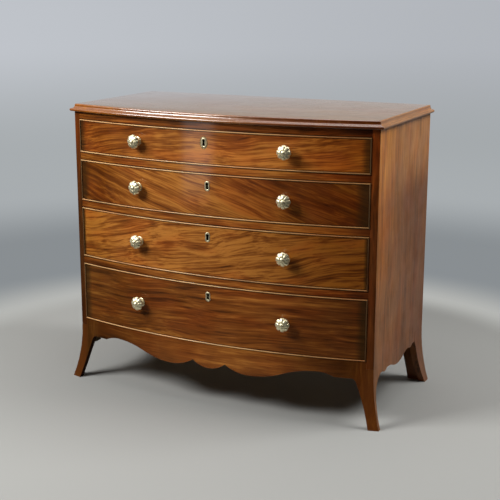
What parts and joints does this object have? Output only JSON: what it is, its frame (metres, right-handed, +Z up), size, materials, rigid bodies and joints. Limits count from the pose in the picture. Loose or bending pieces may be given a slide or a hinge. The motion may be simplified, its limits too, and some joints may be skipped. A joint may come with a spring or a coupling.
{
  "type": "bow front chest of drawers",
  "caption": "Bow front chest with graduated locking drawers, cockbeaded fronts, moulded top, shaped aprons and swept bracket feet.",
  "frame": {"origin": "on the floor under the middle of the chest's overall box", "axes": "+Z up; the bowed front faces -Y and the drawers slide out along -Y; +X to the right of someone facing the front"},
  "size_m": [1.012, 0.5214, 0.8524],
  "materials": {
    "mahogany_top": "French-polished figured mahogany",
    "mahogany_front": "French-polished flame mahogany veneer",
    "mahogany_side": "waxed straight-grained mahogany",
    "mahogany_stile": "polished dark mahogany",
    "mahogany_rail": "polished mahogany",
    "mahogany_base": "polished mahogany",
    "mahogany_bead": "polished cockbead, worn pale along its edge",
    "oak_lining": "dry unpolished oak",
    "pine_carcass": "aged unpolished pine",
    "knob_brass": "cast and polished brass",
    "plate_brass": "worn polished brass",
    "lock_brass": "dull old brass",
    "bolt_steel": "dull steel"
  },
  "bodies": {
    "carcass": {"top_board": "mahogany_top", "side_left": "mahogany_side", "side_right": "mahogany_side", "stile_left": "mahogany_stile", "stile_right": "mahogany_stile", "top_rail": "mahogany_rail", "rail_upper": "mahogany_rail", "rail_middle": "mahogany_rail", "rail_lower": "mahogany_rail", "bottom_rail": "mahogany_base", "bottom_board": "pine_carcass", "back_boards": "pine_carcass", "dust_boards": "pine_carcass", "runners_and_kickers": "oak_lining", "drawer_stops": "oak_lining", "apron_front": "mahogany_base", "apron_left": "mahogany_side", "apron_right": "mahogany_side", "foot_front_left": "mahogany_base", "foot_front_right": "mahogany_base", "foot_back_left": "mahogany_base", "foot_back_right": "mahogany_base", "glue_blocks": "pine_carcass"},
    "top_drawer": {"top_drawer_front": "mahogany_front", "top_drawer_cockbead": "mahogany_bead", "top_drawer_sides": "oak_lining", "top_drawer_back": "oak_lining", "top_drawer_bottom": "oak_lining", "top_drawer_knobs": "knob_brass", "top_drawer_escutcheon": "plate_brass", "top_drawer_lock": "lock_brass"},
    "top_drawer_bolt": {"top_drawer_lock_bolt": "bolt_steel"},
    "second_drawer": {"second_drawer_front": "mahogany_front", "second_drawer_cockbead": "mahogany_bead", "second_drawer_sides": "oak_lining", "second_drawer_back": "oak_lining", "second_drawer_bottom": "oak_lining", "second_drawer_knobs": "knob_brass", "second_drawer_escutcheon": "plate_brass", "second_drawer_lock": "lock_brass"},
    "second_drawer_bolt": {"second_drawer_lock_bolt": "bolt_steel"},
    "third_drawer": {"third_drawer_front": "mahogany_front", "third_drawer_cockbead": "mahogany_bead", "third_drawer_sides": "oak_lining", "third_drawer_back": "oak_lining", "third_drawer_bottom": "oak_lining", "third_drawer_knobs": "knob_brass", "third_drawer_escutcheon": "plate_brass", "third_drawer_lock": "lock_brass"},
    "third_drawer_bolt": {"third_drawer_lock_bolt": "bolt_steel"},
    "bottom_drawer": {"bottom_drawer_front": "mahogany_front", "bottom_drawer_cockbead": "mahogany_bead", "bottom_drawer_sides": "oak_lining", "bottom_drawer_back": "oak_lining", "bottom_drawer_bottom": "oak_lining", "bottom_drawer_knobs": "knob_brass", "bottom_drawer_escutcheon": "plate_brass", "bottom_drawer_lock": "lock_brass"},
    "bottom_drawer_bolt": {"bottom_drawer_lock_bolt": "bolt_steel"}
  },
  "joints": [
    {"name": "top_drawer_slide", "type": "slide", "parent": "carcass", "child": "top_drawer", "axis": [0, -1, 0], "range_m": [0, 0.31]},
    {"name": "top_drawer_bolt_throw", "type": "slide", "parent": "top_drawer", "child": "top_drawer_bolt", "axis": [0, 0, 1], "range_m": [0, 0.007]},
    {"name": "second_drawer_slide", "type": "slide", "parent": "carcass", "child": "second_drawer", "axis": [0, -1, 0], "range_m": [0, 0.31]},
    {"name": "second_drawer_bolt_throw", "type": "slide", "parent": "second_drawer", "child": "second_drawer_bolt", "axis": [0, 0, 1], "range_m": [0, 0.007]},
    {"name": "third_drawer_slide", "type": "slide", "parent": "carcass", "child": "third_drawer", "axis": [0, -1, 0], "range_m": [0, 0.31]},
    {"name": "third_drawer_bolt_throw", "type": "slide", "parent": "third_drawer", "child": "third_drawer_bolt", "axis": [0, 0, 1], "range_m": [0, 0.007]},
    {"name": "bottom_drawer_slide", "type": "slide", "parent": "carcass", "child": "bottom_drawer", "axis": [0, -1, 0], "range_m": [0, 0.31]},
    {"name": "bottom_drawer_bolt_throw", "type": "slide", "parent": "bottom_drawer", "child": "bottom_drawer_bolt", "axis": [0, 0, 1], "range_m": [0, 0.007]}
  ]
}
